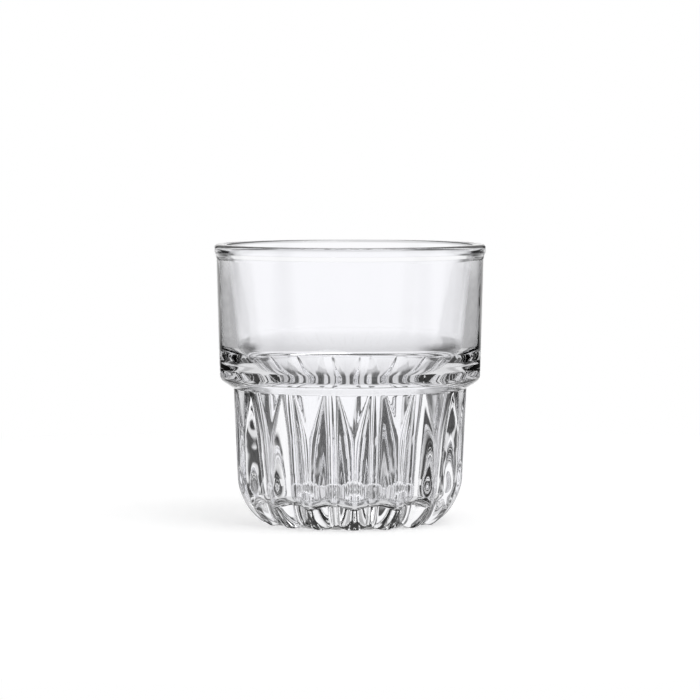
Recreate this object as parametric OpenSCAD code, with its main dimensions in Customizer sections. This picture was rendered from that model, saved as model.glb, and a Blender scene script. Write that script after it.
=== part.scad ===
// Small pressed-glass tumbler: plain band above, stacking shoulder, fluted lower body, thick foot.
// All sizes are in millimetres, the foot stands on z = 0 and the axis of the glass is Z.

/* [Overall] */
// Height of the glass from foot to rim
glass_h = 75; // [70:1:85]
// Outside diameter over the bead of the lip
rim_d = 73; // [70:1:80]

/* [Lip] */
// Height of the bead around the lip
bead_h = 3.2; // [2.6:0.1:4.5]
// How far the bead stands out from the band
bead_out = 0.65; // [0.3:0.05:1]
// Rounding of the lip's edges
lip_round = 1; // [0.6:0.1:1.2]
// Wall thickness at the lip
lip_wall = 3.1; // [2.6:0.1:3.6]
// Height of the straight bore under the rim
lip_bore_h = 5; // [4:0.5:8]

/* [Band] */
// How much the band's radius shrinks from the lip to the shoulder
band_draft = 0.85; // [0.3:0.05:1.5]
// Height of the shoulder's underside above the foot
shoulder_z = 36.4; // [33:0.2:40]
// Overhang of the shoulder over the lower body
shoulder_out = 3.7; // [2.5:0.1:4.2]

/* [Lower body] */
// How much the lower body's radius shrinks from the shoulder to the heel
body_draft = 1.4; // [0.6:0.1:2.2]
// Height at which the heel begins to curve in
heel_z = 12.2; // [11:0.2:13]
// Radius of the heel's curve
heel_r = 14.5; // [13:0.5:14.5]
// Radius of the ring that the glass stands on
foot_r = 22.3; // [21:0.1:22.8]
// Rise of the bevel between foot and heel, in degrees
foot_bevel = 18; // [12:1:24]
// Width of the ring that the glass stands on
foot_ring_w = 4.5; // [3:0.5:7]
// Depth of the hollow under the foot
foot_hollow = 0.8; // [0.4:0.1:1.5]

/* [Flutes] */
// Number of flutes around the lower body
flute_n = 16; // [14:1:18]
// Depth of a flute where it meets the shoulder
flute_top_depth = 0.25; // [0.15:0.05:0.5]
// How far a flute's floor leans in from the shoulder down to the foot
flute_lean = 5.8; // [5:0.2:6.2]
// Radius of a flute's hollow at the shoulder
flute_top_r = 16.5; // [12:0.5:18]
// Radius of a flute's hollow at the height of the foot
flute_foot_r = 3; // [2:0.25:5]
// Least width of a rib between two flutes
rib_w = 0.4; // [0.3:0.1:2]

/* [Bore] */
// Wall thickness at the bottom of the band
band_wall = 4.9; // [3.6:0.1:5.5]
// Height of the inner step above the shoulder's underside
step_rise = 8.2; // [6:0.2:10]
// Height of the sloping inner step
step_h = 6.6; // [5.8:0.2:8]
// Rounding at the top of the inner step
step_top_round = 16; // [10:1:18]
// Rounding at the bottom of the inner step
step_low_round = 8; // [4:0.5:9]
// Wall thickness of the lower body over the ribs
body_wall = 5.1; // [4.6:0.1:6]
// How much the lower bore's radius shrinks down to the floor
bore_draft = 2.2; // [1:0.1:3]
// Thickness of the glass under the floor
floor_t = 6.8; // [6:0.2:10]
// Rounding between lower bore and floor
floor_round = 2.5; // [2:0.5:5]

/* [Hidden] */
$fn = 96;
over = 1;
rim_r = rim_d / 2;
band_top_r = rim_r - bead_out;
band_low_r = band_top_r - band_draft;
body_top_r = band_low_r - shoulder_out;
body_low_r = body_top_r - body_draft;
bead_z = glass_h - bead_h;
band_z = shoulder_z + shoulder_out;

// The heel's arc swells past the wall line a little, so that the two meet at a clean edge
heel_swell = 0.15;
heel_x = body_low_r - heel_r + heel_swell;
wall_foot_z = heel_z / 2;
wall_foot_r = body_low_r - body_draft * (heel_z - wall_foot_z) / (shoulder_z - heel_z);
bevel_w = wall_foot_r - foot_r - over;
hollow_r = foot_r - foot_ring_w;
hollow_ball_r = (pow(hollow_r, 2) + pow(foot_hollow, 2)) / (2 * foot_hollow);

// Corners of the bore, as [radius, height]
lip_bore_r = rim_r - lip_wall;
bore_mouth = [lip_bore_r, glass_h - lip_bore_h];
step_top = [band_low_r - band_wall, shoulder_z + step_rise];
step_low = [body_top_r - body_wall, shoulder_z + step_rise - step_h];
bore_foot = [step_low[0] - bore_draft, floor_t];
floor_mid = [0, floor_t];

// Floor line of a flute, and the cone that cuts it
flute_top = [body_top_r - flute_top_depth, shoulder_z];
flute_foot = flute_top - [flute_lean, shoulder_z];
cone_angle = asin((flute_top_r - flute_foot_r) / norm(flute_top - flute_foot));
axis_angle = atan(flute_lean / shoulder_z) + cone_angle;
cone_foot = flute_foot + flute_foot_r * [cos(axis_angle), -sin(axis_angle)];
cone_top_len = norm(flute_top - flute_foot) * cos(cone_angle) + flute_top_r;
cone_tip_len = flute_foot_r / 2;
flute_half_w = body_low_r * sin(180 / flute_n) - rib_w / 2;

function unit(v) = v / norm(v);
function half_angle(a, b, c) = acos(unit(a - b) * unit(c - b)) / 2;
function arc_start(a, b, c, r) = b + unit(a - b) * r / tan(half_angle(a, b, c));
function arc_end(a, b, c, r) = b + unit(c - b) * r / tan(half_angle(a, b, c));
function arc_mid(a, b, c, r) = b + unit(unit(a - b) + unit(c - b)) * r / sin(half_angle(a, b, c));

// Half section of the lower body with its rounded heel
module body_section() {
    intersection() {
        polygon([
            [0, 0],
            [foot_r, 0],
            [foot_r + bevel_w, bevel_w * tan(foot_bevel)],
            [wall_foot_r, wall_foot_z],
            [body_top_r, shoulder_z],
            [0, shoulder_z]
        ]);
        union() {
            translate([heel_x, heel_z])
                circle(r = heel_r);
            square([heel_x, heel_z + over]);
            translate([0, heel_z])
                square([rim_r, shoulder_z]);
        }
    }
}

// Half section of the band, from the rounded shoulder up to the lip
module band_section() {
    intersection() {
        translate([body_top_r, band_z])
            circle(r = shoulder_out);
        translate([body_top_r - over, shoulder_z])
            square([shoulder_out + 2 * over, shoulder_out]);
    }
    polygon([
        [0, shoulder_z],
        [body_top_r, shoulder_z],
        [band_low_r, band_z],
        [band_top_r, bead_z + lip_round],
        [0, bead_z + lip_round]
    ]);
    lip_section();
}

// Half section of the lip with its rounded bead
module lip_section() {
    translate([0, bead_z])
        square([rim_r - lip_round, bead_h - lip_round]);
    translate([0, bead_z + lip_round])
        square([rim_r, bead_h - 2 * lip_round]);
    square_top_w = rim_r - lip_bore_r - 2 * lip_round;
    translate([lip_bore_r + lip_round, glass_h - 2 * lip_round])
        square([square_top_w, 2 * lip_round]);
    translate([rim_r - lip_round, glass_h - lip_round])
        circle(r = lip_round);
    translate([rim_r - lip_round, bead_z + lip_round])
        circle(r = lip_round);
    translate([lip_bore_r + lip_round, glass_h - lip_round])
        circle(r = lip_round);
}

// Half section of the hollow inside, with its sloping step and rounded floor
module bore_section() {
    polygon([
        floor_mid,
        arc_end(step_low, bore_foot, floor_mid, floor_round),
        arc_start(step_low, bore_foot, floor_mid, floor_round),
        step_low,
        arc_end(bore_mouth, step_top, step_low, step_top_round),
        arc_start(bore_mouth, step_top, step_low, step_top_round),
        bore_mouth,
        [lip_bore_r, glass_h - lip_round],
        [0, glass_h - lip_round]
    ]);
    translate(arc_mid(step_low, bore_foot, floor_mid, floor_round))
        circle(r = floor_round);
    intersection() {
        translate(arc_mid(bore_mouth, step_top, step_low, step_top_round))
            circle(r = step_top_round);
        translate([step_low[0] / 2, step_low[1]])
            square([rim_r, 2 * step_rise]);
    }
    difference() {
        polygon([
            arc_start(step_top, step_low, bore_foot, step_low_round),
            step_low - [over, 0],
            arc_end(step_top, step_low, bore_foot, step_low_round)
        ]);
        translate(arc_mid(step_top, step_low, bore_foot, step_low_round))
            circle(r = step_low_round);
    }
}

// Cutter for one flute: a leaning cone whose inner side is the flute's floor, kept clear of its neighbours
module flute_cutter() {
    intersection() {
        translate([cone_foot[0], 0, cone_foot[1]])
            rotate([0, axis_angle, 0])
                translate([0, 0, -cone_tip_len])
                    cylinder(
                        r1 = flute_foot_r - cone_tip_len * tan(cone_angle),
                        r2 = flute_foot_r + cone_top_len * tan(cone_angle),
                        h = cone_tip_len + cone_top_len
                    );
        translate([0, -flute_half_w, -over])
            cube([rim_r + over, 2 * flute_half_w, shoulder_z + 2 * over]);
    }
}

// Lower body with its flutes and the hollow under the foot
module lower_body() {
    difference() {
        rotate_extrude()
            body_section();
        for (i = [0 : flute_n - 1])
            rotate([0, 0, (i + 0.5) * 360 / flute_n - 90])
                flute_cutter();
        translate([0, 0, foot_hollow - hollow_ball_r])
            sphere(r = hollow_ball_r);
    }
}

// The whole glass, one pressed piece
module glass() {
    color([0.86, 0.9, 0.9, 0.45])
        difference() {
            union() {
                lower_body();
                rotate_extrude()
                    band_section();
            }
            rotate_extrude()
                bore_section();
        }
}

glass();
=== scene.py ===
# Small pressed tumbler glass: plain band, stacking shoulder, sixteen flutes and a thick foot
import math

import bpy
import numpy as np
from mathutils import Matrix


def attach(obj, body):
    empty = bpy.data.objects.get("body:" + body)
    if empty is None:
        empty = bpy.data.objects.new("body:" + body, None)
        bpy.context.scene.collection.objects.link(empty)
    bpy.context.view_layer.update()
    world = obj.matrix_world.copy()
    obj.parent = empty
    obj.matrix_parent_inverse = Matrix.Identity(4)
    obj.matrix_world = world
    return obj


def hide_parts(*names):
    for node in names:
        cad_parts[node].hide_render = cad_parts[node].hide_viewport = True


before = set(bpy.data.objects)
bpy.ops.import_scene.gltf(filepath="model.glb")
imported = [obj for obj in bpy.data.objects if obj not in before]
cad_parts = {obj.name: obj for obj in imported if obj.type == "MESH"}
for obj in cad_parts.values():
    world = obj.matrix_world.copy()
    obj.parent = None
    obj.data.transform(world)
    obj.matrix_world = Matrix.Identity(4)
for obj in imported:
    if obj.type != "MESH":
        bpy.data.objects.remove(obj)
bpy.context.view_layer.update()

MM = 0.001
AXIS = (0, 0, 1)
ON_AXIS = (0, 0, 0)
FLUTES = 16
PITCH = 2 * math.pi / FLUTES
STEPS_PER_FLUTE = 24

# Distances in metres below which points count as one, or as lying on a line
SAME_POINT = 1e-7
ON_LINE = 2e-6
SEAM = 1e-6

# Half section of the glass from the hollow under the foot, up the outside and down the bore.
# Each corner: radius mm, height mm, rounding mm, segments of the rounding, cuts in the edge that follows
SECTION = [
    (0.0, 0.80, 0, 0, 3),
    (9.0, 0.60, 0, 0, 3),
    (17.8, 0.0, 2.0, 3, 1),
    (23.2, 0.0, 0.9, 6, 0),
    (29.9, 4.31, 14.3, 36, 66),
    (31.3, 36.4, 0.5, 4, 2),
    (35.0, 38.5, 2.4, 12, 5),
    (35.86, 71.2, 3.0, 8, 0),
    (36.46, 72.8, 2.2, 8, 0),
    (36.46, 75.0, 1.0, 7, 0),
    (33.4, 75.0, 1.0, 7, 8),
    (30.2, 44.5, 16.0, 24, 1),
    (26.2, 38.0, 8.0, 16, 7),
    (24.0, 6.8, 2.5, 10, 7),
    (0.0, 6.8, 0, 0, 0),
]

# Where the outside skin of the lower body lies, in mm: under the shoulder, outside the standing ring,
# and either wider than the bore or lower than its floor
FLUTE_TOP_Z = 36.35
FLUTE_START_R = 22.0
WIDER_THAN_BORE = 27.0
LOWER_THAN_FLOOR = 6.0

# The heel's curve, centre and radius, and the lean of the wall above it, along which a flute is pressed in
HEEL_R = 15.4
HEEL_Z = 12.2
HEEL_ROUND = 14.5
WALL_LEAN = -0.05

# Section of a flute in mm: height, and at that height the width of the flat land between two flutes,
# half the width of a rounded rib, and the slope where the rib's side meets the flute's floor
LAND_AT = [0, 20, 25.8, 27.9, 32.4, 36.6]
LAND_W = [0, 0, 1.0, 2.0, 4.7, 7.8]
RIB_AT = [0, 4, 9, 18, 25.8, 27.9, 32.4, 36.6]
RIB_HALF = [3.6, 3.8, 3.7, 4.0, 3.7, 3.2, 1.85, 0.5]
SLOPE_AT = [0, 4, 11, 18, 27, 32, 36.6]
SLOPE = [0.5, 0.95, 1.3, 1.1, 0.9, 0.8, 0.75]
# Power of the curve across a flute's floor, most of a flute that a rib takes, and run-in beside the foot in mm
FLOOR_CURVE = 4
RIB_MOST = 0.8
RUN_IN = 0.8

# Clear glass: bending of light, two tints that a soft cloud mixes, loss of gloss and waviness of the skin in mm
GLASS_IOR = 1.52
TINT_DEEP = (0.972, 0.974, 0.994, 1)
TINT_CLEAR = (0.985, 0.985, 1.0, 1)
CLOUD_SCALE = 45
CLOUD_DETAIL = 2
CLOUD_DULL_FROM = 0.45
CLOUD_DULL_TO = 0.8
GLOSS_LOSS = 0.02
WAVE_SCALE = 260
WAVE_DETAIL = 1
WAVE_HEIGHT = 0.01

# Brightness of what the glass sees, as pairs of degrees and grey. Round the studio, 0 is straight behind the
# glass and both sides are alike; up its height, 0 is level.
ROUND = (0, 180)
HEIGHT = (-90, 90)
PANELS_ROUND = [
    (0, 1), (11, 1), (15, 0.03), (62, 0.02), (70, 1),
    (104, 1), (111, 0.25), (118, 0.25), (126, 1), (180, 1),
]
PANELS_HEIGHT = [
    (-90, 0.75), (-50, 0.66), (-25, 0.6), (-15, 0.82), (-10.5, 0.97),
    (-9.2, 1), (5, 1), (14, 0.95), (40, 0.9), (90, 0.9),
]
# The least light at each height, which closes the dark gaps between the panels above and below
LEAST_LIGHT = [
    (-90, 0.8), (-50, 0.65), (-36, 0.48), (-20, 0.42), (-14, 0.6), (-12.5, 0.88), (-8, 0.92),
    (-7, 0.3), (-6, 0), (4, 0), (10, 0.3), (16, 0.55), (30, 0.75), (90, 0.8),
]
# A light strip across the gaps, which keeps the outline of the band light
STRIP_ROUND = [(0, 0.75), (24, 0.75), (28, 0), (180, 0)]
STRIP_HEIGHT = [(-90, 0), (-4.1, 0), (-3.8, 1), (-1.9, 1), (-1.6, 0), (90, 0)]
# Low panels with gaps of their own, which draw the curved stripes under the inner step, and where they take over
LOW_ROUND = [(0, 0.7), (6, 0.7), (9, 0.04), (29, 0.04), (35, 0.75), (180, 0.75)]
LOW_SHARE = [(-90, 0), (-60, 0), (-50, 1), (-21, 1), (-17, 0), (90, 0)]
ROOM_GREY = (0.5, 0.5, 0.5, 1)
WHITE = (1, 1, 1, 1)

# Floor and lamp, in metres, degrees and watts
FLOOR_R = 0.3
FLOOR_SIDES = 96
FLOOR_PALE = (0.9, 0.9, 0.9, 1)
FLOOR_ROUGH = 0.9
FLOOR_GLOW = 0.45
LAMP_AT = (0.25, -0.35, 0.9)
LAMP_TILT = (21, 15, 0)
LAMP_SIZE = 0.6
LAMP_POWER = 2.0

# Camera in millimetres of lens, degrees and metres
SENSOR = 36
LENS = 199.66
CAMERA_TURN = -2
CAMERA_DIP = 3.479
CAMERA_BACK = 1.042
CAMERA_HEIGHT = 0.10975


def only(obj):
    """Leaves obj as the one selected and active object."""
    if bpy.context.mode != "OBJECT":
        bpy.ops.object.mode_set(mode="OBJECT")
    bpy.ops.object.select_all(action="DESELECT")
    obj.select_set(True)
    bpy.context.view_layer.objects.active = obj


def smooth_curve(at, value, z):
    """Values along a soft curve through the given points."""
    at = np.array(at, float)
    value = np.array(value, float)
    lean = np.gradient(value, at)
    z = np.clip(z, at[0], at[-1])
    i = np.clip(np.searchsorted(at, z) - 1, 0, len(at) - 2)
    h = at[i + 1] - at[i]
    t = (z - at[i]) / h
    return (
        (2 * t**3 - 3 * t**2 + 1) * value[i]
        + (t**3 - 2 * t**2 + t) * h * lean[i]
        + (3 * t**2 - 2 * t**3) * value[i + 1]
        + (t**3 - t**2) * h * lean[i + 1]
    )


def pick_vertex(mesh, r, z):
    """Selects the one vertex of the half section at that radius and height, in edit mode."""
    bpy.ops.mesh.select_all(action="DESELECT")
    bpy.ops.object.mode_set(mode="OBJECT")
    for v in mesh.vertices:
        v.select = abs(-v.co.y - r * MM) < SAME_POINT and abs(v.co.z - z * MM) < SAME_POINT
    bpy.ops.object.mode_set(mode="EDIT")


def pick_edge(mesh, near, far):
    """Selects the longest edge that runs along the line between two corners, in edit mode."""
    a = np.array(near) * MM
    b = np.array(far) * MM
    along = (b - a) / np.linalg.norm(b - a)
    bpy.ops.mesh.select_all(action="DESELECT")
    bpy.ops.object.mode_set(mode="OBJECT")
    best, best_len = None, 0
    for e in mesh.edges:
        p, q = (np.array((-mesh.vertices[i].co.y, mesh.vertices[i].co.z)) for i in e.vertices)
        off = max(abs(np.cross(along, p - a)), abs(np.cross(along, q - a)))
        inside = min((p - a) @ along, (q - a) @ along) > -SAME_POINT
        inside = inside and max((p - b) @ along, (q - b) @ along) < SAME_POINT
        if off < ON_LINE and inside and np.linalg.norm(q - p) > best_len:
            best, best_len = e, np.linalg.norm(q - p)
    best.select = True
    for i in best.vertices:
        mesh.vertices[i].select = True
    bpy.ops.object.mode_set(mode="EDIT")


def draw_half_section():
    """The glass cut in half: one line of edges, drawn corner by corner and then rounded."""
    first_r, first_z = SECTION[0][:2]
    bpy.ops.mesh.primitive_plane_add(size=MM, location=(0, -first_r * MM, first_z * MM))
    glass = bpy.context.object
    glass.name = glass.data.name = "pressed_glass"
    only(glass)
    bpy.ops.object.transform_apply(location=True, rotation=True, scale=True)
    mesh = glass.data
    bpy.ops.object.mode_set(mode="EDIT")
    bpy.ops.mesh.select_all(action="SELECT")
    bpy.ops.mesh.merge(type="CENTER")
    bpy.ops.mesh.select_mode(type="VERT")
    for here, there in zip(SECTION[:-1], SECTION[1:]):
        step = (0, -(there[0] - here[0]) * MM, (there[1] - here[1]) * MM)
        bpy.ops.mesh.extrude_region_move(TRANSFORM_OT_translate={"value": step})
    for before, corner, after in zip(SECTION[:-2], SECTION[1:-1], SECTION[2:]):
        r, z, rounding, segments, _ = corner
        if rounding == 0:
            continue
        u = np.array(before[:2]) - (r, z)
        w = np.array(after[:2]) - (r, z)
        half = math.acos(u @ w / np.linalg.norm(u) / np.linalg.norm(w)) / 2
        pick_vertex(mesh, r, z)
        bpy.ops.mesh.bevel(
            offset=rounding / math.tan(half) * MM,
            segments=segments,
            profile=0.5,
            affect="VERTICES",
            clamp_overlap=True,
        )
    for corner, after in zip(SECTION[:-1], SECTION[1:]):
        cuts = corner[4]
        if cuts:
            pick_edge(mesh, corner[:2], after[:2])
            bpy.ops.mesh.subdivide(number_cuts=cuts)
    return glass


def press_flute(mesh):
    """Moves the outside of one sector in to the hollow of its flute, between two ribs."""
    co = np.empty(len(mesh.vertices) * 3)
    mesh.vertices.foreach_get("co", co)
    co = co.reshape(-1, 3) / MM
    r = np.hypot(co[:, 0], co[:, 1])
    z = co[:, 2]
    angle = np.arctan2(co[:, 0], -co[:, 1])
    outside = (z < FLUTE_TOP_Z) & (r > FLUTE_START_R) & ((r > WIDER_THAN_BORE) | (z < LOWER_THAN_FLOOR))

    # Across the flute: a flat-bottomed hollow in the middle, the rounded side of a rib, then the land
    from_middle = np.abs(np.abs(angle) - PITCH / 2)
    land = np.maximum(smooth_curve(LAND_AT, LAND_W, z), 0) / 2
    half = PITCH / 2 * r - land
    rib = np.minimum(smooth_curve(RIB_AT, RIB_HALF, z), half * RIB_MOST)
    hollow = half - rib
    slope = smooth_curve(SLOPE_AT, SLOPE, z)
    across = np.minimum(from_middle * r, half)
    deepest = slope * (hollow / FLOOR_CURVE + rib / 2)
    depth = np.where(
        across < hollow,
        deepest - slope * hollow / FLOOR_CURVE * (np.minimum(across, hollow) / hollow) ** FLOOR_CURVE,
        slope * (half - across) ** 2 / (2 * rib),
    )
    fade = np.clip((r - FLUTE_START_R) / RUN_IN, 0, 1)
    depth = np.where(outside, depth * fade, 0)

    # Pressed in at right angles to the wall, and round the heel towards the centre of its curve
    out_r = np.where(z > HEEL_Z, 1.0, (r - HEEL_R) / HEEL_ROUND)
    out_z = np.where(z > HEEL_Z, WALL_LEAN, (z - HEEL_Z) / HEEL_ROUND)
    size = np.hypot(out_r, out_z)
    new_r = r - depth * out_r / size
    new_z = np.maximum(z - depth * out_z / size, 0)
    scale = np.where(r > 0, new_r / np.maximum(r, 1e-9), 1)
    co[:, 0] *= scale
    co[:, 1] *= scale
    co[:, 2] = np.where(outside, new_z, z)
    mesh.vertices.foreach_set("co", (co * MM).ravel())
    mesh.update()


def press_glass():
    """Spins the half section through one flute, presses the flute and repeats it round the axis."""
    glass = draw_half_section()
    bpy.ops.mesh.select_all(action="SELECT")
    bpy.ops.mesh.spin(steps=STEPS_PER_FLUTE, angle=PITCH, center=ON_AXIS, axis=AXIS)
    bpy.ops.object.mode_set(mode="OBJECT")
    press_flute(glass.data)
    bpy.ops.object.mode_set(mode="EDIT")
    bpy.ops.mesh.select_all(action="SELECT")
    bpy.ops.mesh.remove_doubles(threshold=SEAM)
    bpy.ops.mesh.spin(
        steps=FLUTES - 1,
        angle=PITCH * (FLUTES - 1),
        center=ON_AXIS,
        axis=AXIS,
        dupli=True,
    )
    bpy.ops.mesh.select_all(action="SELECT")
    bpy.ops.mesh.remove_doubles(threshold=SEAM)
    bpy.ops.mesh.select_all(action="SELECT")
    bpy.ops.mesh.normals_make_consistent(inside=False)
    bpy.ops.object.mode_set(mode="OBJECT")
    bpy.ops.object.shade_smooth()
    return glass


def clear_glass():
    """Clear pressed glass: a trace of cool tint, a faint cloud in it and waviness left by the mould."""
    mat = bpy.data.materials.new("clear_pressed_glass")
    mat.use_nodes = True
    nodes = mat.node_tree.nodes
    links = mat.node_tree.links
    glass = nodes["Principled BSDF"]
    glass.inputs["Transmission Weight"].default_value = 1
    glass.inputs["IOR"].default_value = GLASS_IOR
    where = nodes.new("ShaderNodeTexCoord")
    cloud = nodes.new("ShaderNodeTexNoise")
    cloud.inputs["Scale"].default_value = CLOUD_SCALE
    cloud.inputs["Detail"].default_value = CLOUD_DETAIL
    links.new(where.outputs["Object"], cloud.inputs["Vector"])
    tint = nodes.new("ShaderNodeMix")
    tint.data_type = "RGBA"
    tint.inputs["A"].default_value = TINT_DEEP
    tint.inputs["B"].default_value = TINT_CLEAR
    links.new(cloud.outputs["Fac"], tint.inputs["Factor"])
    links.new(tint.outputs["Result"], glass.inputs["Base Color"])
    gloss = nodes.new("ShaderNodeMapRange")
    gloss.inputs["From Min"].default_value = CLOUD_DULL_FROM
    gloss.inputs["From Max"].default_value = CLOUD_DULL_TO
    gloss.inputs["To Max"].default_value = GLOSS_LOSS
    links.new(cloud.outputs["Fac"], gloss.inputs["Value"])
    links.new(gloss.outputs["Result"], glass.inputs["Roughness"])
    waves = nodes.new("ShaderNodeTexNoise")
    waves.inputs["Scale"].default_value = WAVE_SCALE
    waves.inputs["Detail"].default_value = WAVE_DETAIL
    links.new(where.outputs["Object"], waves.inputs["Vector"])
    skin = nodes.new("ShaderNodeBump")
    skin.inputs["Strength"].default_value = 1
    skin.inputs["Distance"].default_value = WAVE_HEIGHT * MM
    links.new(waves.outputs["Fac"], skin.inputs["Height"])
    links.new(skin.outputs["Normal"], glass.inputs["Normal"])
    return mat


def feed(tree, socket, value):
    """Gives a socket its value: another node's output, or a plain number or colour."""
    if isinstance(value, bpy.types.NodeSocket):
        tree.links.new(value, socket)
    else:
        socket.default_value = value


def work_out(tree, operation, *values, clamp=False):
    """One step of arithmetic on a node's values."""
    node = tree.nodes.new("ShaderNodeMath")
    node.operation = operation
    node.use_clamp = clamp
    for socket, value in zip(node.inputs, values):
        feed(tree, socket, value)
    return node.outputs[0]


def lay_over(tree, way, share, under, over):
    """Two greys laid over each other in the given way."""
    node = tree.nodes.new("ShaderNodeMix")
    node.data_type = "RGBA"
    node.blend_type = way
    feed(tree, node.inputs["Factor"], share)
    feed(tree, node.inputs["A"], under)
    feed(tree, node.inputs["B"], over)
    return node.outputs["Result"]


def brightness_ramp(tree, place, stops, span):
    """Greys along a place that runs from 0 to 1 over a span of degrees, through stops given in degrees."""
    node = tree.nodes.new("ShaderNodeValToRGB")
    ramp = node.color_ramp
    while len(ramp.elements) < len(stops):
        ramp.elements.new(0.5)
    first, last = span
    for stop, (degrees, grey) in zip(ramp.elements, stops):
        stop.position = (degrees - first) / (last - first)
        stop.color = (grey, grey, grey, 1)
    tree.links.new(place, node.inputs[0])
    return node.outputs["Color"]


def white_studio():
    """White surroundings, in which the glass sees panels with dark gaps between them."""
    world = bpy.data.worlds.new("white_studio")
    bpy.context.scene.world = world
    world.use_nodes = True
    tree = world.node_tree
    where = tree.nodes.new("ShaderNodeTexCoord")
    apart = tree.nodes.new("ShaderNodeSeparateXYZ")
    tree.links.new(where.outputs["Generated"], apart.inputs[0])
    turn = work_out(tree, "ARCTAN2", apart.outputs["X"], apart.outputs["Y"])
    side = work_out(tree, "DIVIDE", work_out(tree, "ABSOLUTE", turn), math.pi)
    rise = tree.nodes.new("ShaderNodeMapRange")
    rise.inputs["From Min"].default_value = -math.pi / 2
    rise.inputs["From Max"].default_value = math.pi / 2
    tree.links.new(work_out(tree, "ARCSINE", apart.outputs["Z"]), rise.inputs["Value"])
    up = rise.outputs[0]

    panels = lay_over(
        tree, "MULTIPLY", 1,
        brightness_ramp(tree, side, PANELS_ROUND, ROUND),
        brightness_ramp(tree, up, PANELS_HEIGHT, HEIGHT),
    )
    panels = lay_over(tree, "LIGHTEN", 1, panels, brightness_ramp(tree, up, LEAST_LIGHT, HEIGHT))
    strip = lay_over(
        tree, "MULTIPLY", 1,
        brightness_ramp(tree, side, STRIP_ROUND, ROUND),
        brightness_ramp(tree, up, STRIP_HEIGHT, HEIGHT),
    )
    panels = lay_over(tree, "LIGHTEN", 1, panels, strip)
    low_panels = brightness_ramp(tree, side, LOW_ROUND, ROUND)
    low_share = brightness_ramp(tree, up, LOW_SHARE, HEIGHT)
    panels = lay_over(tree, "MIX", low_share, panels, low_panels)

    path = tree.nodes.new("ShaderNodeLightPath").outputs
    through_glass = work_out(tree, "ADD", path["Is Glossy Ray"], path["Is Transmission Ray"], clamp=True)
    room = lay_over(tree, "MIX", through_glass, ROOM_GREY, panels)
    back = tree.nodes["Background"]
    feed(tree, back.inputs["Color"], lay_over(tree, "MIX", path["Is Camera Ray"], room, WHITE))
    back.inputs["Strength"].default_value = 1


def pale_floor():
    """Matt white floor that glows a little to the camera and keeps the shadow of the glass."""
    bpy.ops.mesh.primitive_circle_add(
        vertices=FLOOR_SIDES, radius=FLOOR_R, fill_type="NGON", location=(0, 0, 0)
    )
    floor = bpy.context.object
    floor.name = floor.data.name = "floor"
    mat = bpy.data.materials.new("white_floor")
    mat.use_nodes = True
    tree = mat.node_tree
    matt = tree.nodes["Principled BSDF"]
    matt.inputs["Base Color"].default_value = FLOOR_PALE
    matt.inputs["Roughness"].default_value = FLOOR_ROUGH
    matt.inputs["Specular IOR Level"].default_value = 0
    matt.inputs["Emission Color"].default_value = WHITE
    path = tree.nodes.new("ShaderNodeLightPath").outputs
    seen = work_out(tree, "ADD", path["Is Camera Ray"], path["Is Transmission Ray"])
    seen = work_out(tree, "ADD", seen, path["Is Glossy Ray"], clamp=True)
    feed(tree, matt.inputs["Emission Strength"], work_out(tree, "MULTIPLY", seen, FLOOR_GLOW))
    floor.data.materials.append(mat)
    floor.visible_transmission = False
    floor.visible_glossy = False


def soft_lamp():
    """One large round lamp above, in front and to the right."""
    bpy.ops.object.light_add(type="AREA", location=LAMP_AT)
    lamp = bpy.context.object
    lamp.name = lamp.data.name = "soft_lamp"
    lamp.data.shape = "DISK"
    lamp.data.size = LAMP_SIZE
    lamp.data.energy = LAMP_POWER
    lamp.rotation_euler = [math.radians(tilt) for tilt in LAMP_TILT]


def photo_camera():
    """Long lens a little above the rim, looking slightly down."""
    data = bpy.data.cameras.new("photo_camera")
    data.sensor_width = SENSOR
    data.lens = LENS
    cam = bpy.data.objects.new("photo_camera", data)
    turn = math.radians(CAMERA_TURN)
    dip = math.radians(CAMERA_DIP)
    cam.location = (math.sin(turn) * CAMERA_BACK, -math.cos(turn) * CAMERA_BACK, CAMERA_HEIGHT)
    cam.rotation_euler = (math.radians(90) - dip, 0, turn)
    bpy.context.scene.collection.objects.link(cam)
    bpy.context.scene.camera = cam


bpy.context.scene.view_settings.view_transform = "Standard"
photo_camera()
glass = press_glass()
glass.data.materials.append(clear_glass())
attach(glass, "root")
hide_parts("glass")
white_studio()
pale_floor()
soft_lamp()
